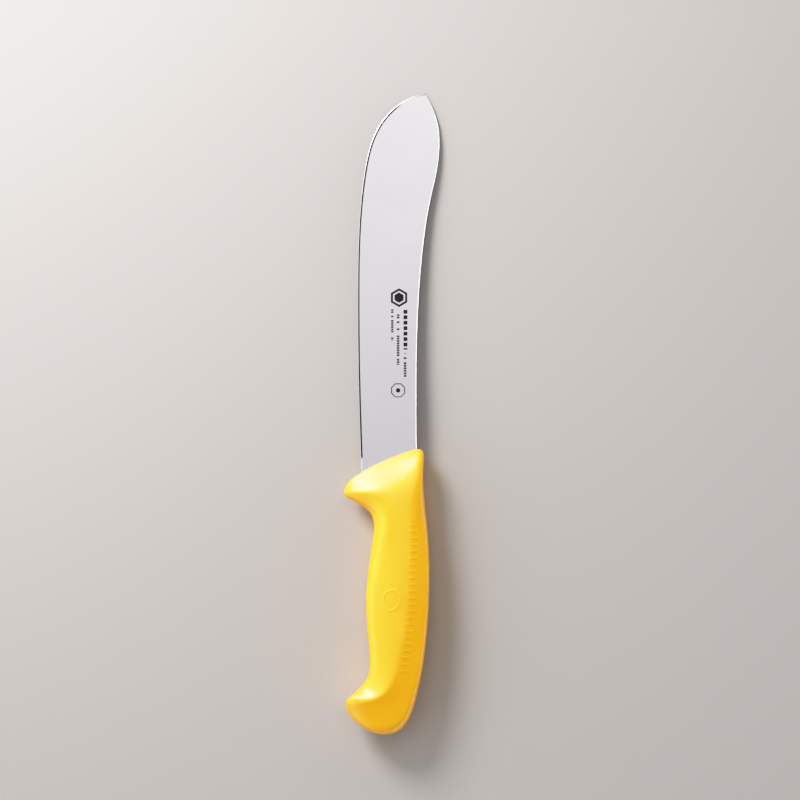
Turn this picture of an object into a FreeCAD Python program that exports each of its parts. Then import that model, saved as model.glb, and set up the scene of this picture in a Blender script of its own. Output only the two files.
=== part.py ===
import FreeCAD, Part
import math
import os

# Butcher's knife: a steel blade with a hidden tang, and a plastic handle moulded round the tang.
# The knife lies on its side. +Y runs to the point, +X to the spine and +Z up through the blade's side.
# Both pieces are drawn about the blade's middle plane, z = 0, and lifted onto the ground at the end.

UP = FreeCAD.Vector(0, 0, 1)

# Blade, in millimetres
SPINE_HALF_THICKNESS = 1.25
SHOULDER_HALF_THICKNESS = 0.36  # where the side meets the cutting bevel
BEVEL_WIDTH = 0.8
EDGE_HALF_LAND = 0.03  # a sharpened edge is still a little blunt
SPINE_CHAMFER = 0.35
CHAMFER_RISE = 1.0
CUTTER_REACH = 4.0  # how far a grinding cutter goes over the steel, in widths of what it grinds
GRINDING_STEPS = 16
FLAT_END_Y = 45.0  # the sides are plane up to here, and thin towards the point after it
TAPER_STEPS = 8
STOCK_MARGIN = 3.0  # the ground stock is this much larger than the outline cut from it
POINT_TAPER = 0.85  # how much of the wedge is ground away at the point
EDGE_LINE_X = -17.8
HEEL = (-16.1, -32.0)
EDGE = ((-17.1, -1.0), (-17.8, 30.0), (-18.0, 60.0), (-17.7, 88.0), (-16.6, 109.0), (-14.4, 128.0),
        (-11.0, 143.4), (-5.1, 155.4), (4.1, 164.7))
POINT = (17.5, 170.4)
SPINE = ((21.9, 162.0), (24.4, 154.0), (25.3, 144.5), (24.6, 133.5), (20.0, 111.0), (16.2, 85.0),
         (13.7, 50.0), (13.0, 12.0))
SHOULDER = (13.2, -22.0)

# Tang, hidden in the handle
TANG_EDGE_X = -5.5
TANG_SPINE_X = 11.5
TANG_END_WIDTH = 9.0
TANG_END_Y = -128.0
TANG_CORNER_Y = -46.0
LOCKING_HOLE_RADIUS = 3.5
LOCKING_HOLES_Y = (-62.0, -86.0, -110.0)
LOCKING_HOLE_X = 3.0

# Handle: rails that run from the tip of the guard to the tip of the hook
FINGER_SIDE = ((-25.1, -42.7), (-24.2, -44.1), (-22.0, -45.5), (-18.4, -47.6), (-14.6, -50.0), (-11.6, -52.7),
               (-9.9, -55.9), (-9.3, -59.4), (-9.4, -63.2), (-10.1, -68.6), (-11.2, -75.5), (-12.4, -83.5),
               (-13.3, -93.0), (-13.5, -103.0), (-12.9, -113.5), (-12.0, -123.0), (-11.5, -131.5),
               (-12.3, -138.8), (-15.2, -143.9), (-18.4, -147.0), (-21.2, -149.6), (-23.2, -151.8),
               (-23.9, -152.9), (-24.2, -153.6), (-24.3, -154.2))
CREST = ((-25.3, -42.0), (-23.6, -42.2), (-20.5, -42.3), (-16.0, -42.5), (-10.8, -43.0), (-5.5, -44.1),
         (-0.6, -46.2), (3.3, -49.4), (5.8, -53.6), (7.3, -59.0), (8.0, -66.5), (8.2, -76.0),
         (8.1, -87.5), (7.6, -99.5), (6.5, -111.5), (4.9, -123.5), (3.0, -134.0), (0.2, -142.6),
         (-4.0, -148.6), (-9.0, -151.7), (-14.5, -153.3), (-19.3, -154.2), (-22.4, -154.7), (-23.7, -154.9),
         (-24.2, -155.0))
OUTER_SIDE = ((-25.2, -41.2), (-24.3, -39.2), (-21.8, -35.6), (-17.0, -32.1), (-10.6, -28.5), (-3.4, -25.1),
              (4.2, -22.1), (11.0, -19.8), (15.2, -19.2), (16.9, -21.9), (16.7, -30.0), (17.0, -43.5),
              (18.5, -58.0), (19.7, -74.5), (19.9, -92.0), (19.1, -110.0), (17.6, -125.0), (15.6, -138.5),
              (13.0, -150.0), (9.6, -160.5), (3.6, -168.2), (-6.6, -169.9), (-15.9, -165.9), (-21.4, -160.8),
              (-24.1, -155.9))
CREST_HEIGHT = (1.0, 2.9, 4.7, 6.5, 8.1, 9.3, 10.1, 10.5, 10.7, 10.8, 10.9, 11.0,
                11.0, 11.0, 11.0, 11.0, 10.9, 10.8, 10.5, 9.9, 8.9, 7.3, 5.0, 2.9, 1.0)
CREST_SOFTNESS = (0.3, 0.12, 0.08, 0.08, 0.1, 0.16, 0.3, 0.45, 0.5, 0.4, 0.3, 0.22,
                  0.16, 0.11, 0.08, 0.07, 0.07, 0.07, 0.07, 0.07, 0.08, 0.12, 0.2, 0.3, 0.3)
PARTING_HALF_WIDTH = 0.15  # the flat band where the two halves of the mould meet
LIP_HALF_HEIGHT = (0.5, 1.1, 1.8, 2.1, 2.1, 2.1, 2.1, 2.1, 1.6, 0.5)  # the wall at the front, tip to corner
# How far a square flank's facet falls on its way out, as a share of the crest's height
FINGER_FALL = (0.33, 0.33, 0.33, 0.33, 0.33, 0.33, 0.35, 0.38, 0.42, 0.48, 0.53, 0.54,
               0.52, 0.5, 0.5, 0.5, 0.52, 0.57, 0.6, 0.58, 0.52, 0.49, 0.45, 0.4, 0.4)
OUTER_FALL = 0.33
# Bend 1 is a plane facet; 2 leaves the crest level and falls ever faster
FINGER_BEND = (1.8, 1.8, 1.8, 1.8, 1.8, 1.8, 1.8, 1.8, 1.8, 1.8, 1.8, 1.8,
               1.8, 1.8, 1.8, 1.7, 1.6, 1.35, 1.1, 1.0, 1.0, 1.0, 1.0, 1.0, 1.0)
OUTER_BEND = 1.0
# Squareness 1 slopes all the way from the crest to the side; 20 stays up and turns down close to the side
FINGER_SQUARENESS = (1.0, 1.0, 1.0, 1.0, 1.0, 1.3, 1.8, 2.6, 4.0, 6.0, 9.0, 12.0,
                     15.0, 16.0, 16.0, 16.0, 16.0, 16.0, 16.0, 16.0, 14.0, 10.0, 7.0, 4.0, 3.0)
OUTER_SQUARENESS = (1.3, 1.3, 1.35, 1.4, 1.45, 1.5, 1.6, 1.9, 2.8, 5.0, 9.0, 14.0,
                    20.0, 24.0, 26.0, 26.0, 26.0, 26.0, 26.0, 24.0, 18.0, 12.0, 7.0, 4.0, 3.0)
FINGER_ROUNDNESS = 2.2
FRONT_ROUNDNESS = (1.7, 1.3, 1.1, 1.05, 1.05, 1.05, 1.15, 1.5)
OUTER_ROUNDNESS = 2.0
SECTION_STEPS = 14


def point(place, z=0.0):
    return FreeCAD.Vector(place[0], place[1], z)


def smooth(vectors):
    """A smooth edge through the points."""
    curve = Part.BSplineCurve()
    curve.interpolate(vectors)
    return curve.toShape()


def spline(points):
    """A smooth edge through points of the plan."""
    return smooth([point(place) for place in points])


def line(start, end):
    return Part.makeLine(point(start), point(end))


def upright(wire, half_height):
    """A solid with this plan that reaches half_height above and below the blade's middle plane."""
    face = Part.Face(wire)
    face.translate(FreeCAD.Vector(0, 0, -half_height))
    return face.extrude(FreeCAD.Vector(0, 0, 2 * half_height))


def blade_plan(cutting_edge, back):
    """The outline of the whole steel blank, blade and tang."""
    middle = (TANG_EDGE_X + TANG_SPINE_X) / 2
    corners = [SHOULDER, (TANG_SPINE_X, TANG_CORNER_Y), (middle + TANG_END_WIDTH / 2, TANG_END_Y),
               (middle - TANG_END_WIDTH / 2, TANG_END_Y), (TANG_EDGE_X, TANG_CORNER_Y), HEEL]
    tang = [line(start, end) for start, end in zip(corners, corners[1:])]
    return Part.Wire([cutting_edge, back] + tang)


def side_height(x, y):
    """Half the steel's thickness: a plane wedge that thins smoothly towards the point."""
    slope = (SPINE_HALF_THICKNESS - SHOULDER_HALF_THICKNESS) / (SHOULDER[0] - EDGE_LINE_X)
    along = max(0.0, y - FLAT_END_Y) / (POINT[1] - FLAT_END_Y)
    return SHOULDER_HALF_THICKNESS + slope * (x - EDGE_LINE_X) * (1 - POINT_TAPER * along ** 2)


def closed_solid(faces):
    return Part.makeSolid(Part.makeShell(faces))


def mirrored(shape):
    """The same shape on the other side of the blade's middle plane."""
    return shape.mirror(FreeCAD.Vector(), UP)


def between(top):
    """The solid between a face and its mirror image."""
    bottom = mirrored(top)
    walls = [Part.makeRuledSurface(upper, lower) for upper, lower in zip(top.Edges, bottom.Edges)]
    return closed_solid([top, bottom] + walls)


def flat_wedge(low_x, high_x):
    """The plane-sided wedge that the tang and the near part of the blade are cut from."""
    start_y = TANG_END_Y - STOCK_MARGIN
    corners = [FreeCAD.Vector(x, start_y, side * side_height(x, start_y))
               for x, side in ((low_x, 1), (high_x, 1), (high_x, -1), (low_x, -1))]
    section = Part.Face(Part.makePolygon(corners + corners[:1]))
    return section.extrude(FreeCAD.Vector(0, FLAT_END_Y - start_y, 0))


def tapering_line(x):
    """A line along the side that leaves the plane wedge smoothly and passes beyond the point."""
    length = POINT[1] + STOCK_MARGIN - FLAT_END_Y
    stations = [FLAT_END_Y + length * step / TAPER_STEPS for step in range(TAPER_STEPS + 1)]
    return smooth([FreeCAD.Vector(x, y, side_height(x, y)) for y in stations])


def side_stock():
    """The ground thickness of the steel, before its outline is cut."""
    low_x = EDGE_LINE_X - STOCK_MARGIN
    high_x = max(place[0] for place in SPINE) + STOCK_MARGIN
    taper = between(Part.makeRuledSurface(tapering_line(low_x), tapering_line(high_x)))
    return flat_wedge(low_x, high_x).fuse(taper)


def grinding_cutter(edge, wall_height, rise, width):
    """What is ground from the upper side along an edge that runs with the steel on its right.

    The ground face leaves the steel's wall at wall_height and climbs inwards at the slope rise. The
    cutter itself reaches further in than the width that it grinds, and past both ends of the edge.
    """
    low, inner, outer = [], [], []
    reach = CUTTER_REACH * width
    first, last = edge.ParameterRange
    for step in range(GRINDING_STEPS + 1):
        parameter = first + (last - first) * step / GRINDING_STEPS
        place = edge.valueAt(parameter)
        along = edge.tangentAt(parameter)
        height = wall_height(place.x, place.y)
        if step == 0:
            place = place - along * reach
        if step == GRINDING_STEPS:
            place = place + along * reach
        inwards = FreeCAD.Vector(along.y, -along.x, 0)
        outside = place - inwards * width
        low.append(outside + UP * (height - rise * width))
        inner.append(place + inwards * reach + UP * (height + rise * reach))
        outer.append(outside + UP * (height + rise * reach))
    curves = [smooth(points) for points in (low, inner, outer)]
    faces = [Part.makeRuledSurface(curves[index - 1], curves[index]) for index in range(3)]
    for end in (0, -1):
        faces.append(Part.Face(Part.makePolygon([low[end], inner[end], outer[end], low[end]])))
    return closed_solid(faces)


def bevel_wall(x, y):
    return EDGE_HALF_LAND


def chamfer_wall(x, y):
    return side_height(x, y) - SPINE_CHAMFER


def blank():
    """The ground steel with its bevel, its spine chamfer and the locking holes in its tang."""
    cutting_edge = spline((HEEL,) + EDGE + (POINT,))
    back = spline((POINT,) + SPINE + (SHOULDER,))
    plan = upright(blade_plan(cutting_edge, back), 2 * SPINE_HALF_THICKNESS)
    for y in LOCKING_HOLES_Y:
        foot = FreeCAD.Vector(LOCKING_HOLE_X, y, -2 * SPINE_HALF_THICKNESS)
        plan = plan.cut(Part.makeCylinder(LOCKING_HOLE_RADIUS, 4 * SPINE_HALF_THICKNESS, foot))
    steel = plan.common(side_stock())
    bevel_rise = (SHOULDER_HALF_THICKNESS - EDGE_HALF_LAND) / BEVEL_WIDTH
    for cutter in (grinding_cutter(cutting_edge, bevel_wall, bevel_rise, BEVEL_WIDTH),
                   grinding_cutter(back, chamfer_wall, CHAMFER_RISE, SPINE_CHAMFER)):
        steel = steel.cut(cutter).cut(mirrored(cutter))
    return steel


def ridge_profile(across, softness, fall, bend, squareness, roundness):
    """Height over a section from its crest, at 0, to its side, at 1, as a share of the crest's height."""
    drop = (math.hypot(across, softness) - softness) / (math.hypot(1, softness) - softness)
    facet = 1 - fall * (1 - 1 / squareness) * drop ** bend
    return facet * max(0.0, 1 - drop ** squareness) ** (1 / roundness)


def handle_section(index):
    """Points over the upper half of the handle, from the finger side across the crest to the outer side."""
    finger, crest, outer = FINGER_SIDE[index], CREST[index], OUTER_SIDE[index]
    height = CREST_HEIGHT[index]
    outer_height = LIP_HALF_HEIGHT[index] if index < len(LIP_HALF_HEIGHT) else PARTING_HALF_WIDTH
    outer_roundness = FRONT_ROUNDNESS[index] if index < len(FRONT_ROUNDNESS) else OUTER_ROUNDNESS
    softness = CREST_SOFTNESS[index]
    finger_flank = (softness, FINGER_FALL[index], FINGER_BEND[index], FINGER_SQUARENESS[index], FINGER_ROUNDNESS)
    outer_flank = (softness, OUTER_FALL, OUTER_BEND, OUTER_SQUARENESS[index], outer_roundness)
    points = []
    for step in range(-SECTION_STEPS, SECTION_STEPS + 1):
        # closer together at the crest and at both sides, where the section turns
        across = math.copysign((1 - math.cos(math.pi * step / SECTION_STEPS)) / 2, step)
        place = [finger[axis] * across * (across - 1) / 2 + crest[axis] * (1 - across * across)
                 + outer[axis] * across * (across + 1) / 2 for axis in (0, 1)]
        side_z, flank = (PARTING_HALF_WIDTH, finger_flank) if step < 0 else (outer_height, outer_flank)
        points.append(point(place, side_z + (height - side_z) * ridge_profile(abs(across), *flank)))
    return points


def handle_body():
    """The handle before the blade's room is taken out of it."""
    upper = Part.BSplineSurface()
    upper.interpolate([handle_section(index) for index in range(len(CREST))])
    return between(upper.toShape())


def fitted(steel, body):
    """The blade and the handle, meeting face to face.

    The blade's faces are divided where they enter the handle, so its bare side is a face of its own.
    """
    blade = steel.cut(body).fuse(steel.common(body))
    return {"blade": blade, "handle": body.cut(steel)}


def main():
    os.makedirs("parts", exist_ok=True)
    pieces = fitted(blank(), handle_body())
    box = Part.makeCompound(list(pieces.values())).optimalBoundingBox()
    base = FreeCAD.Vector(box.Center.x, box.Center.y, box.ZMin)
    for name, shape in pieces.items():
        shape.translate(-base)
        shape.exportStep("parts/" + name + ".step")
        print(name, shape.isValid(), round(shape.Volume), len(shape.Solids), len(shape.Faces))
    print("base", base, "size", box.XLength, box.YLength, box.ZLength)


main()
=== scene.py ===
import bmesh
import bpy
import math
import numpy as np
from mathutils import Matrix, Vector
from mathutils.bvhtree import BVHTree


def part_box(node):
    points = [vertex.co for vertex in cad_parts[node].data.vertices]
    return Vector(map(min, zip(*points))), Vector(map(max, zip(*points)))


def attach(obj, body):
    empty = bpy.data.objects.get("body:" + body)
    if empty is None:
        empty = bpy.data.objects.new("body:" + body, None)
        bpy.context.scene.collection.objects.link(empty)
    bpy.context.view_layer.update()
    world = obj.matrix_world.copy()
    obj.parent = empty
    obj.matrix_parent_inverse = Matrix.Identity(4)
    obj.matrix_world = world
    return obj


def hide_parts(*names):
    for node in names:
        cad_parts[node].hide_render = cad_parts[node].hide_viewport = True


# The looks of a butcher's knife with a moulded handle. Metres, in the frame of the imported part:
# +Y runs to the point, +X to the spine and +Z up through the blade's side.

MM = 0.001

# Camera: straight above the knife, square to the surface that it lies on
VIEW_WIDTH = 425 * MM
VIEW_CENTRE = (4.4 * MM, 7.2 * MM)
VIEW_PLANE_HEIGHT = 6 * MM  # the height above the floor at which the view is VIEW_WIDTH wide
CAMERA_HEIGHT = 2.5
SENSOR_WIDTH = 36.0
VIEW_REACH = 50  # nothing in the scene is further from the camera

# Floor
FLOOR_WIDTH = 6.0
TIP_LENGTH = 2 * MM  # the blade rests on this much of its point

# Key light: a soft round lamp on the cutting edge's side, towards the point
KEY_BEARING = math.radians(131)  # from +X towards +Y
KEY_ELEVATION = math.radians(36)
KEY_DISTANCE = 1.0
KEY_SIZE = 0.42
KEY_POWER = 10.2

# Sky. Each light in it has a brightness, a way in which it lies, and an edge: the two cosines of the angle
# from that way between which it fades in. The wall goes all round, and is as bright as WALL on its own side
# and as FAR_WALL on the other. The wall and the strip are low, and have a top: the two sines of the
# elevation between which they fade in downwards.
AMBIENT = 0.07
CEILING = 1.6
CEILING_WAY = (-0.05, 0.395, 1)
CEILING_EDGE = (0.88, 0.99)
PANEL = 0.65
PANEL_WAY = (-0.85, 0.1, 0.6)
PANEL_EDGE = (0.72, 0.95)
WALL = 1.4
FAR_WALL = 0.42
WALL_WAY = (-0.8, 0.6, 0)
WALL_EDGE = (-0.3, 0.3)
WALL_TOP = (0.7, 0.4)
STRIP = 4.4
STRIP_WAY = (0.95, -0.3, 0)
STRIP_EDGE = (0.2, 0.7)
STRIP_TOP = (0.2, 0.08)

# Pairs of a brightness and what it is shown as: shadows a little darker, the middle nearly true, and then a
# soft shoulder up to WHITE, which is shown as white
WHITE = 2.0
SHOULDER = ((0.1, 0.08), (0.25, 0.225), (0.5, 0.5), (0.7, 0.715), (0.85, 0.84),
            (1.0, 0.9), (1.3, 0.96), (1.7, 0.99))

# Etched marks on the blade's upper side. A radius runs to the middle of a mark's side, and the core and the
# ring are shares of it.
BADGE = (3.9 * MM, 61.2 * MM)
BADGE_SIDES = 6
BADGE_RADIUS = 4.3 * MM
BADGE_CORE = 0.55
BADGE_RING = (0.88, 0.12)  # the middle and half width of the ring
SEAL = (3.4 * MM, 11.9 * MM)
SEAL_SIDES = 8
SEAL_RADIUS = 3.7 * MM
SEAL_CORE = 0.3
SEAL_RING = (0.94, 0.06)
# Each row's middle x, half width, first y, last y and pitch
DASH_ROWS = ((7.3 * MM, 1.0 * MM, 33.6 * MM, 55.0 * MM, 2.9 * MM),
             (7.1 * MM, 0.65 * MM, 18.0 * MM, 31.5 * MM, 1.35 * MM),
             (3.4 * MM, 0.65 * MM, 25.5 * MM, 55.0 * MM, 1.25 * MM),
             (0.3 * MM, 0.6 * MM, 38.5 * MM, 55.0 * MM, 1.15 * MM))
DASH_HALF_SHARE = 0.34  # half the part of the pitch that a dash fills
DASH_GAPS = 0.25  # the share of dashes left out

# Ground faces of the steel, told apart by how much of their normal points straight up or down. The bevel and
# the chamfer begin between the first two values and end between the last two.
SIDE_UPNESS = 0.9  # on the plane sides it is more
BEVEL_UPNESS = ((0.85, 0.88), (0.99, 0.96))
CHAMFER_UPNESS = ((0.3, 0.5), (0.82, 0.78))
# The cutting bevel gets a painted dark reflection, but not at its heel or on the keen edge, and less of it
# near the point.
PAINTED_DARK_END_Y = -24 * MM
PAINTED_DARK_END_FADE = 1 * MM
PAINTED_DARK_POINT_FADE = (161 * MM, 170 * MM)
PAINTED_DARK_AT_POINT = 0.45
KEEN_HALF_THICKNESS = 0.08 * MM
KEEN_FADE = 0.03 * MM

# Colours, in pairs where noise runs from the first to the second
FLOOR_COLOUR = (0.503, 0.476, 0.46, 1)
SIDE_COLOURS = ((0.677, 0.658, 0.688, 1), (0.717, 0.698, 0.732, 1))
# painted dark reflection on the cutting bevel
PAINTED_REFLECTION_COLOUR = (0.02, 0.019, 0.02, 1)
# painted highlight on the keen edge and the spine's polished chamfer
PAINTED_HIGHLIGHT_COLOUR = (0.95, 0.94, 0.95, 1)
ETCHED_COLOUR = (0.035, 0.033, 0.033, 1)
PLASTIC_COLOURS = ((0.98, 0.49, 0.001, 1), (1.0, 0.51, 0.002, 1))

# Surface noise: the size of its grains along each axis, and how deep the bumps are
FINE_GRIND = (14 * MM, 0.16 * MM, 14 * MM)
BROAD_GRIND = (40 * MM, 1.1 * MM, 40 * MM)
GRIND_DEPTH = 0.003 * MM
STEEL_CLOUDS = (30 * MM, 24 * MM, 30 * MM)
PLASTIC_CLOUDS = (16 * MM, 24 * MM, 16 * MM)
PLASTIC_GRAIN = (0.28 * MM, 0.28 * MM, 0.28 * MM)
GRAIN_DEPTH = 0.012 * MM
NOISE_RANGE = (0.3, 0.7)  # nearly all of the noise lies in here
FINE_SHARE = 0.7  # of the streaks in the grind, the rest being broad ones

# Roughness, in pairs over the range of the noise
SIDE_ROUGHNESS = (0.28, 0.33)
BEVEL_ROUGHER = 0.12
ETCHED_ROUGHER = 0.2
PLASTIC_ROUGHNESS = (0.33, 0.37)
ROUGHNESS_CHANGE = (-0.02, 0.02)

# Handle skin
VOXEL = 0.4 * MM
SMOOTHINGS = 4
TOUCHING = 0.1 * MM  # a face this near to the steel is a wall of the tang's room
SAME_PLACE = 0.0004 * MM  # vertices this near to each other are one
RIDGE_STATION = 2 * MM  # how far apart the places are at which the ridge is looked for
RIDGE_DEPTH = 0.03 * MM  # what lies within this depth of the top is the ridge
RELIEF_HEIGHT = 0.11 * MM
RELIEF_SLOPE = 0.5 * MM  # how wide the foot of the raised relief is
SEAM_HEIGHT = 0.06 * MM  # the line that the mould's two halves leave round the handle
SEAM_WIDTH = 0.3 * MM
SEAM_SLOPE = 0.2 * MM
SEAM_BAND = 0.6 * MM  # how far from the seam the skin is made finer
RIB_PITCH = 3.5 * MM
RIB_COUNT = 23
RIB_LENGTH = 3.9 * MM
RIB_WIDTH = 1.1 * MM
RIB_FROM_CREST = 3.9 * MM
RIBS_FROM_BUTT = 33.5 * MM
OVAL_FROM_BUTT = 70.7 * MM
OVAL_FROM_CREST = 7.0 * MM
OVAL_RADII = (4.4 * MM, 5.4 * MM)
OVAL_RING = 0.8 * MM
CREST_MARGIN = 8 * MM  # how far past the ribs the ridge is followed


def vertices_of_mesh(mesh):
    """The mesh's vertices as an array of rows."""
    places = np.empty(len(mesh.vertices) * 3)
    mesh.vertices.foreach_get("co", places)
    return places.reshape(-1, 3)


# ---------------------------------------------------------------- handle


def outer_skin(handle, blade):
    """The handle's mesh without the walls of the tang's room, closed where the blade goes in."""
    steel = BVHTree.FromPolygons([vertex.co for vertex in blade.data.vertices],
                                 [face.vertices for face in blade.data.polygons])
    skin = bmesh.new()
    skin.from_mesh(handle.data)
    bmesh.ops.remove_doubles(skin, verts=skin.verts, dist=SAME_PLACE)
    walls = [face for face in skin.faces if steel.find_nearest(face.calc_center_median())[3] < TOUCHING]
    bmesh.ops.delete(skin, geom=walls, context="FACES")
    bmesh.ops.holes_fill(skin, edges=skin.edges[:], sides=0)
    bmesh.ops.triangulate(skin, faces=[face for face in skin.faces if len(face.verts) > 4])
    mesh = bpy.data.meshes.new("skin")
    skin.to_mesh(mesh)
    skin.free()
    return mesh


def remeshed(mesh):
    """The mesh rebuilt of even quads, and smoothed."""
    holder = bpy.data.objects.new("remeshing", mesh)
    bpy.context.scene.collection.objects.link(holder)
    even = holder.modifiers.new("even", "REMESH")
    even.mode = "VOXEL"
    even.voxel_size = VOXEL
    soft = holder.modifiers.new("soft", "SMOOTH")
    soft.factor = 0.5
    soft.iterations = SMOOTHINGS
    made = bpy.data.meshes.new_from_object(holder.evaluated_get(bpy.context.evaluated_depsgraph_get()))
    bpy.data.objects.remove(holder)
    return made


def crest_line(places, low_y, high_y):
    """Where along the handle its ridge runs: the stations' y and the ridge's x at each."""
    stations = np.arange(low_y, high_y, RIDGE_STATION)
    ridge = []
    for y in stations:
        section = places[np.abs(places[:, 1] - y) < RIDGE_STATION / 2]
        top = section[section[:, 2] > section[:, 2].max() - RIDGE_DEPTH]
        ridge.append(top[:, 0].mean())
    neighbours = 3
    window = np.ones(2 * neighbours + 1) / (2 * neighbours + 1)
    return stations, np.convolve(np.pad(ridge, neighbours, mode="edge"), window, mode="valid")


def raised(distance, slope):
    """How high relief stands at a distance inside its outline, as a share, with a soft foot."""
    share = np.clip(distance / slope + 0.5, 0, 1)
    return share * share * (3 - 2 * share)


def relief(places, butt_y):
    """The height of the plain ribs and of the oval ring over each place on the handle's upper side."""
    first_rib = butt_y + RIBS_FROM_BUTT
    last_rib = first_rib + (RIB_COUNT - 1) * RIB_PITCH
    crest = crest_line(places, first_rib - CREST_MARGIN, last_rib + CREST_MARGIN)
    across = places[:, 0] - np.interp(places[:, 1], *crest)
    rib = np.clip(np.round((places[:, 1] - first_rib) / RIB_PITCH), 0, RIB_COUNT - 1)
    along = np.abs(places[:, 1] - (first_rib + rib * RIB_PITCH))
    inside_rib = np.minimum(RIB_LENGTH / 2 - np.abs(across - RIB_FROM_CREST), RIB_WIDTH / 2 - along)
    oval = np.hypot((across + OVAL_FROM_CREST) / OVAL_RADII[0],
                    (places[:, 1] - butt_y - OVAL_FROM_BUTT) / OVAL_RADII[1])
    inside_ring = OVAL_RING / 2 - np.abs(oval - 1) * min(OVAL_RADII)
    return RELIEF_HEIGHT * raised(np.maximum(inside_rib, inside_ring), RELIEF_SLOPE)


def refine(mesh, wanted):
    """Divides the faces whose vertices are all wanted into four, once."""
    fine = bmesh.new()
    fine.from_mesh(mesh)
    fine.verts.ensure_lookup_table()
    edges = [edge for edge in fine.edges if all(wanted[vertex.index] for vertex in edge.verts)]
    bmesh.ops.subdivide_edges(fine, edges=edges, cuts=1, use_grid_fill=True)
    fine.to_mesh(mesh)
    fine.free()


def moulded_handle(handle, blade):
    """The handle's visible piece: an even skin over the CAD handle's shape, with its moulded relief."""
    mesh = remeshed(outer_skin(handle, blade))
    places = vertices_of_mesh(mesh)
    butt_y = places[:, 1].min()
    middle_z = (places[:, 2].min() + places[:, 2].max()) / 2
    from_seam = np.abs(places[:, 2] - middle_z)
    refine(mesh, (relief(places, butt_y) > 0) & (places[:, 2] > middle_z) | (from_seam < SEAM_BAND))
    places = vertices_of_mesh(mesh)
    from_seam = np.abs(places[:, 2] - middle_z)
    normals = np.empty(len(mesh.vertices) * 3)
    mesh.vertices.foreach_get("normal", normals)
    height = np.where(places[:, 2] > middle_z, relief(places, butt_y), 0)
    height += SEAM_HEIGHT * raised(SEAM_WIDTH / 2 - from_seam, SEAM_SLOPE)
    lowest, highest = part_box("handle")
    raised_places = np.clip(places + normals.reshape(-1, 3) * height[:, None], lowest, highest)
    mesh.vertices.foreach_set("co", raised_places.ravel())
    mesh.shade_smooth()
    mesh.update()
    piece = bpy.data.objects.new("moulded_handle", mesh)
    bpy.context.scene.collection.objects.link(piece)
    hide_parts("handle")
    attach(piece, "root")
    return piece


# ---------------------------------------------------------------- shader building


def feed(tree, socket, value):
    """Links the socket to another socket, or sets it to a plain value."""
    if isinstance(value, bpy.types.NodeSocket):
        tree.links.new(value, socket)
    else:
        socket.default_value = value


def calculate(tree, operation, *values):
    """The result of a math node."""
    made = tree.nodes.new("ShaderNodeMath")
    made.operation = operation
    for socket, value in zip(made.inputs, values):
        feed(tree, socket, value)
    return made.outputs[0]


def level(tree, value, low, high, to_low=0.0, to_high=1.0):
    """The value moved smoothly from the range low..high to the range to_low..to_high."""
    made = tree.nodes.new("ShaderNodeMapRange")
    made.interpolation_type = "SMOOTHSTEP"
    for name, number in (("Value", value), ("From Min", low), ("From Max", high), ("To Min", to_low),
                         ("To Max", to_high)):
        feed(tree, made.inputs[name], number)
    return made.outputs["Result"]


def noise(tree, place, size, detail=2.0, roughness=0.5):
    """Noise whose grains have the given size in metres, one number per axis."""
    scaled = tree.nodes.new("ShaderNodeVectorMath")
    scaled.operation = "DIVIDE"
    feed(tree, scaled.inputs[0], place)
    scaled.inputs[1].default_value = size
    made = tree.nodes.new("ShaderNodeTexNoise")
    feed(tree, made.inputs["Vector"], scaled.outputs[0])
    made.inputs["Scale"].default_value = 1.0
    made.inputs["Detail"].default_value = detail
    made.inputs["Roughness"].default_value = roughness
    return made.outputs["Fac"]


def blend(tree, share, first, second):
    """A colour between two colours."""
    made = tree.nodes.new("ShaderNodeMix")
    made.data_type = "RGBA"
    colours = [socket for socket in made.inputs if socket.type == "RGBA"]
    feed(tree, made.inputs["Factor"], share)
    feed(tree, colours[0], first)
    feed(tree, colours[1], second)
    return next(socket for socket in made.outputs if socket.type == "RGBA")


def split(tree, vector):
    """The x, y and z of a vector."""
    made = tree.nodes.new("ShaderNodeSeparateXYZ")
    feed(tree, made.inputs[0], vector)
    return made.outputs


def bump(tree, height, distance):
    """Normals that rise and fall with the height, by the distance in metres."""
    made = tree.nodes.new("ShaderNodeBump")
    made.inputs["Distance"].default_value = distance
    made.inputs["Strength"].default_value = 1.0
    feed(tree, made.inputs["Height"], height)
    return made.outputs["Normal"]


def face_upness(tree):
    """How much of a flat face's normal points straight up, from -1 to 1."""
    return split(tree, tree.nodes.new("ShaderNodeNewGeometry").outputs["True Normal"])[2]


def among(tree, value, begin, end):
    """1 where the value lies between two ranges, and 0 outside them, with a smooth change within each."""
    return calculate(tree, "MULTIPLY", level(tree, value, *end), level(tree, value, *begin))


def material(name):
    """A node material, its tree, its principled shader and the place on the surface."""
    made = bpy.data.materials.new(name)
    made.use_nodes = True
    tree = made.node_tree
    place = tree.nodes.new("ShaderNodeTexCoord").outputs["Object"]
    return made, tree, tree.nodes["Principled BSDF"], place


# ---------------------------------------------------------------- materials


def floor_material():
    """A plain pale floor."""
    made, _, shader, _ = material("pale_floor")
    shader.inputs["Base Color"].default_value = FLOOR_COLOUR
    shader.inputs["Roughness"].default_value = 0.9
    return made


def polygon(tree, x, y, centre, sides):
    """The distance from the centre, measured square to the nearest side of a regular polygon."""
    reach = 0.0
    for side in range(sides // 2):
        turn = 2 * math.pi * side / sides
        along = calculate(tree, "MULTIPLY", calculate(tree, "SUBTRACT", x, centre[0]), math.cos(turn))
        beside = calculate(tree, "MULTIPLY", calculate(tree, "SUBTRACT", y, centre[1]), math.sin(turn))
        square = calculate(tree, "ABSOLUTE", calculate(tree, "ADD", along, beside))
        reach = calculate(tree, "MAXIMUM", reach, square)
    return reach


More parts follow.
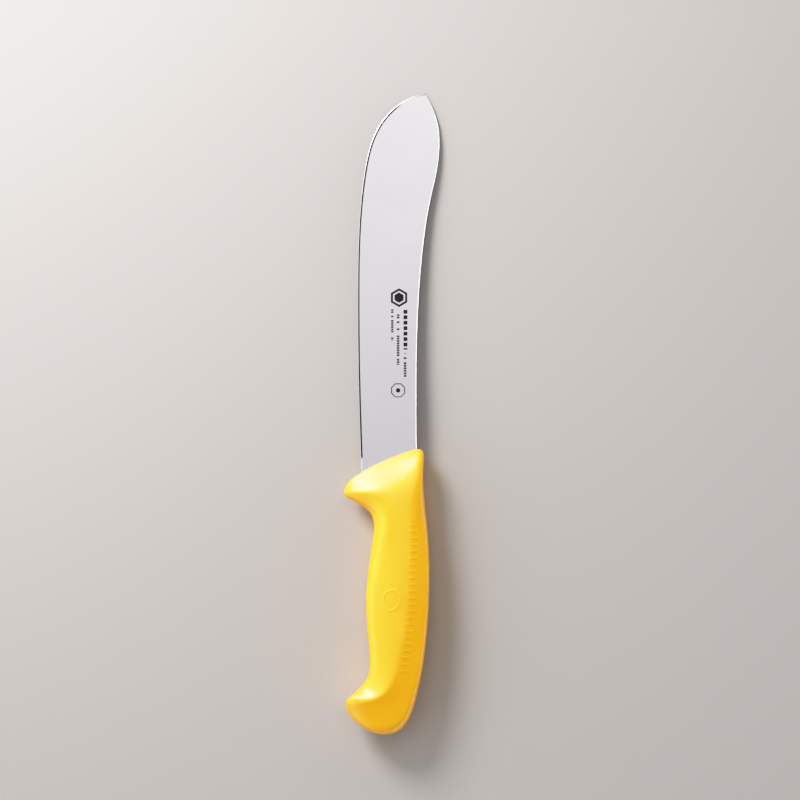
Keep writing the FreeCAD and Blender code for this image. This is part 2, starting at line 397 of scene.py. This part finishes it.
def dashes(tree, x, y, centre_x, half_width, start_y, end_y, pitch):
    """A row of plain dashes and gaps along the blade."""
    step = calculate(tree, "DIVIDE", y, pitch)
    chance = tree.nodes.new("ShaderNodeTexWhiteNoise")
    chance.noise_dimensions = "2D"
    corner = tree.nodes.new("ShaderNodeCombineXYZ")
    feed(tree, corner.inputs[0], calculate(tree, "FLOOR", step))
    corner.inputs[1].default_value = centre_x / MM
    feed(tree, chance.inputs["Vector"], corner.outputs[0])
    filled = calculate(tree, "GREATER_THAN", chance.outputs["Value"], DASH_GAPS)
    bar = calculate(tree, "COMPARE", calculate(tree, "FRACT", step), 0.5, DASH_HALF_SHARE)
    across = calculate(tree, "COMPARE", x, centre_x, half_width)
    along = calculate(tree, "COMPARE", y, (start_y + end_y) / 2, (end_y - start_y) / 2)
    return calculate(tree, "MULTIPLY", calculate(tree, "MULTIPLY", filled, bar),
                     calculate(tree, "MULTIPLY", across, along))


def etched_marks(tree, place):
    """Where the upper side is etched: a plain hexagon, rows of dashes and a plain octagon. No lettering."""
    x, y, _ = split(tree, place)
    marks = []
    for centre, sides, radius, core, ring in ((BADGE, BADGE_SIDES, BADGE_RADIUS, BADGE_CORE, BADGE_RING),
                                              (SEAL, SEAL_SIDES, SEAL_RADIUS, SEAL_CORE, SEAL_RING)):
        reach = polygon(tree, x, y, centre, sides)
        marks.append(calculate(tree, "LESS_THAN", reach, radius * core))
        marks.append(calculate(tree, "COMPARE", reach, radius * ring[0], radius * ring[1]))
    for row in DASH_ROWS:
        marks.append(dashes(tree, x, y, *row))
    etched = 0.0
    for mark in marks:
        etched = calculate(tree, "MAXIMUM", etched, mark)
    on_side = calculate(tree, "GREATER_THAN", face_upness(tree), SIDE_UPNESS)
    return calculate(tree, "MULTIPLY", etched, on_side)


def ground_faces(tree, place):
    """Where the cutting bevel gets a painted dark reflection, and where the keen edge and the spine's
    chamfer get a painted highlight.
    """
    upness = calculate(tree, "ABSOLUTE", face_upness(tree))
    _, y, z = split(tree, place)
    lowest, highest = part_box("handle")
    above_middle = calculate(tree, "SUBTRACT", z, (lowest[2] + highest[2]) / 2)
    from_middle = calculate(tree, "ABSOLUTE", above_middle)
    keen = level(tree, from_middle, KEEN_HALF_THICKNESS + KEEN_FADE, KEEN_HALF_THICKNESS - KEEN_FADE)
    past_heel = level(tree, y, PAINTED_DARK_END_Y - PAINTED_DARK_END_FADE, PAINTED_DARK_END_Y + PAINTED_DARK_END_FADE)
    short_of_point = level(tree, y, *PAINTED_DARK_POINT_FADE, 1.0, PAINTED_DARK_AT_POINT)
    bevel = among(tree, upness, *BEVEL_UPNESS)
    # painted dark reflection on the bevel, kept off the heel and the keen edge and lessened near the point
    painted_dark_reflection = bevel
    for share in (past_heel, short_of_point, calculate(tree, "SUBTRACT", 1.0, keen)):
        painted_dark_reflection = calculate(tree, "MULTIPLY", painted_dark_reflection, share)
    chamfer = among(tree, upness, *CHAMFER_UPNESS)
    # painted highlight on the spine's chamfer and the keen edge
    painted_highlight = calculate(tree, "MAXIMUM", chamfer, calculate(tree, "MULTIPLY", bevel, keen))
    return painted_dark_reflection, painted_highlight


def steel_material():
    """Satin steel ground across the blade, with a painted dark reflection on the bevel and a painted
    highlight on the keen edge and the polished chamfer.
    """
    made, tree, shader, place = material("satin_steel")
    painted_dark_reflection, painted_highlight = ground_faces(tree, place)
    etched = etched_marks(tree, place)
    fine = noise(tree, place, FINE_GRIND, 3.0, 0.6)
    broad = noise(tree, place, BROAD_GRIND)
    cloud = noise(tree, place, STEEL_CLOUDS)
    streaks = calculate(tree, "ADD", calculate(tree, "MULTIPLY", fine, FINE_SHARE),
                        calculate(tree, "MULTIPLY", broad, 1 - FINE_SHARE))
    colour = blend(tree, streaks, *SIDE_COLOURS)
    # painted dark reflection and painted highlight laid over the steel's own colour, then the etched marks
    for mask, painted in ((painted_dark_reflection, PAINTED_REFLECTION_COLOUR), (painted_highlight, PAINTED_HIGHLIGHT_COLOUR), (etched, ETCHED_COLOUR)):
        colour = blend(tree, mask, colour, painted)
    feed(tree, shader.inputs["Base Color"], colour)
    shader.inputs["Metallic"].default_value = 1.0
    roughness = calculate(tree, "ADD", level(tree, streaks, *NOISE_RANGE, *SIDE_ROUGHNESS),
                          level(tree, cloud, *NOISE_RANGE, *ROUGHNESS_CHANGE))
    for mask, rougher in ((painted_dark_reflection, BEVEL_ROUGHER), (etched, ETCHED_ROUGHER)):
        roughness = calculate(tree, "ADD", roughness, calculate(tree, "MULTIPLY", mask, rougher))
    feed(tree, shader.inputs["Roughness"], roughness)
    feed(tree, shader.inputs["Normal"], bump(tree, streaks, GRIND_DEPTH))
    return made


def plastic_material():
    """Yellow moulded plastic with the fine grain of its mould."""
    made, tree, shader, place = material("yellow_plastic")
    cloud = noise(tree, place, PLASTIC_CLOUDS, 3.0)
    grain = noise(tree, place, PLASTIC_GRAIN, 2.0, 0.6)
    yellow = blend(tree, level(tree, cloud, *NOISE_RANGE), *PLASTIC_COLOURS)
    roughness = calculate(tree, "ADD", level(tree, cloud, *NOISE_RANGE, *PLASTIC_ROUGHNESS),
                          level(tree, grain, *NOISE_RANGE, *ROUGHNESS_CHANGE))
    feed(tree, shader.inputs["Base Color"], yellow)
    feed(tree, shader.inputs["Roughness"], roughness)
    shader.inputs["Specular IOR Level"].default_value = 0.75
    shader.inputs["Subsurface Weight"].default_value = 0.2
    shader.inputs["Subsurface Radius"].default_value = (1.0, 0.5, 0.08)
    shader.inputs["Subsurface Scale"].default_value = 2.5 * MM
    feed(tree, shader.inputs["Normal"], bump(tree, grain, GRAIN_DEPTH))
    return made


# ---------------------------------------------------------------- stage


def resting_slope(blade, handle):
    """How steeply the floor climbs towards the point in the knife's frame, and the point's y and lowest z.

    The knife rests on the swelling of its handle and on its point.
    """
    steel = vertices_of_mesh(blade.data)
    tip = steel[steel[:, 1].argmax()]
    tip_low = steel[steel[:, 1] > tip[1] - TIP_LENGTH][:, 2].min()
    plastic = vertices_of_mesh(handle.data)
    slopes = (tip_low - plastic[:, 2]) / (tip[1] - plastic[:, 1])
    return float(np.max(slopes)), tip[1], tip_low


def lay_floor(centre, tilt):
    """The floor that the knife lies on, which slopes in the knife's frame."""
    half = FLOOR_WIDTH / 2
    mesh = bpy.data.meshes.new("floor")
    corners = [(x, y, 0) for x, y in ((-half, -half), (half, -half), (half, half), (-half, half))]
    mesh.from_pydata(corners, [], [(0, 1, 2, 3)])
    floor = bpy.data.objects.new("floor", mesh)
    bpy.context.scene.collection.objects.link(floor)
    floor.location = centre
    floor.rotation_euler = (tilt, 0, 0)
    mesh.materials.append(floor_material())


def set_camera(centre, up, tilt):
    """The camera that looks straight down at the floor."""
    data = bpy.data.cameras.new("camera")
    data.sensor_width = SENSOR_WIDTH
    data.lens = SENSOR_WIDTH * (CAMERA_HEIGHT - VIEW_PLANE_HEIGHT) / VIEW_WIDTH
    data.clip_end = VIEW_REACH
    camera = bpy.data.objects.new("camera", data)
    bpy.context.scene.collection.objects.link(camera)
    camera.location = centre + up * CAMERA_HEIGHT
    camera.rotation_euler = (tilt, 0, 0)
    bpy.context.scene.camera = camera


def hang_key(centre):
    """The soft round lamp that casts the knife's shadow."""
    light = bpy.data.lights.new("key", "AREA")
    light.shape = "DISK"
    light.size = KEY_SIZE
    light.energy = KEY_POWER
    holder = bpy.data.objects.new("key", light)
    bpy.context.scene.collection.objects.link(holder)
    flat = math.cos(KEY_ELEVATION)
    away = Vector((flat * math.cos(KEY_BEARING), flat * math.sin(KEY_BEARING), math.sin(KEY_ELEVATION)))
    holder.location = centre + away * KEY_DISTANCE
    holder.rotation_euler = away.to_track_quat("Z", "Y").to_euler()


def paint_sky():
    """A dim studio with a ceiling, a panel, a low wall all round and a low strip on the spine's side."""
    world = bpy.data.worlds.new("studio")
    bpy.context.scene.world = world
    world.use_nodes = True
    tree = world.node_tree
    way = tree.nodes.new("ShaderNodeTexCoord").outputs["Generated"]
    rise = calculate(tree, "ABSOLUTE", split(tree, way)[2])

    def glow(direction, edge, brightness, elsewhere=0.0):
        """The brightness towards the direction, which fades to what it is elsewhere."""
        cosine = tree.nodes.new("ShaderNodeVectorMath")
        cosine.operation = "DOT_PRODUCT"
        feed(tree, cosine.inputs[0], way)
        cosine.inputs[1].default_value = Vector(direction).normalized()
        return level(tree, cosine.outputs["Value"], *edge, elsewhere, brightness)

    def low_down(top, brightness):
        """The brightness near the horizon, which fades out upwards and downwards."""
        return calculate(tree, "MULTIPLY", level(tree, rise, *top), brightness)

    strength = AMBIENT
    for light in (glow(CEILING_WAY, CEILING_EDGE, CEILING),
                  low_down(WALL_TOP, glow(WALL_WAY, WALL_EDGE, WALL, FAR_WALL)),
                  glow(PANEL_WAY, PANEL_EDGE, PANEL),
                  low_down(STRIP_TOP, glow(STRIP_WAY, STRIP_EDGE, STRIP))):
        strength = calculate(tree, "ADD", strength, light)
    background = tree.nodes["Background"]
    background.inputs["Color"].default_value = (1, 1, 1, 1)
    feed(tree, background.inputs["Strength"], strength)


def expose():
    """A plain view with a soft shoulder, so that highlights pale instead of burning out."""
    view = bpy.context.scene.view_settings
    view.view_transform = "Standard"
    view.use_curve_mapping = True
    mapping = view.curve_mapping
    mapping.white_level = (WHITE, WHITE, WHITE)
    response = mapping.curves[3]  # the curve for all three colours together
    for light, shown in SHOULDER:
        response.points.new(light / WHITE, shown)
    mapping.update()


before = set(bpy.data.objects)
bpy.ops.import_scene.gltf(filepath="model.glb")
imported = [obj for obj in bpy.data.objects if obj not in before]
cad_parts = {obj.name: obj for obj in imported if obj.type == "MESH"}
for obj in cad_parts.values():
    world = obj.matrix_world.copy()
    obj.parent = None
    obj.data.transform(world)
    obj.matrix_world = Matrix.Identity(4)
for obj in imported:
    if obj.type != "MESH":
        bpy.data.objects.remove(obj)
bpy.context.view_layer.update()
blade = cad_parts["blade"]
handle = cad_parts["handle"]
grip = moulded_handle(handle, blade)
for piece, made in ((blade, steel_material()), (grip, plastic_material())):
    piece.data.materials.clear()
    piece.data.materials.append(made)

slope, tip_y, tip_z = resting_slope(blade, handle)
tilt = math.atan(slope)
up = Vector((0, -math.sin(tilt), math.cos(tilt)))
centre = Vector((*VIEW_CENTRE, tip_z + slope * (VIEW_CENTRE[1] - tip_y)))
lay_floor(centre, tilt)
set_camera(centre, up, tilt)
hang_key(centre)
paint_sky()
expose()
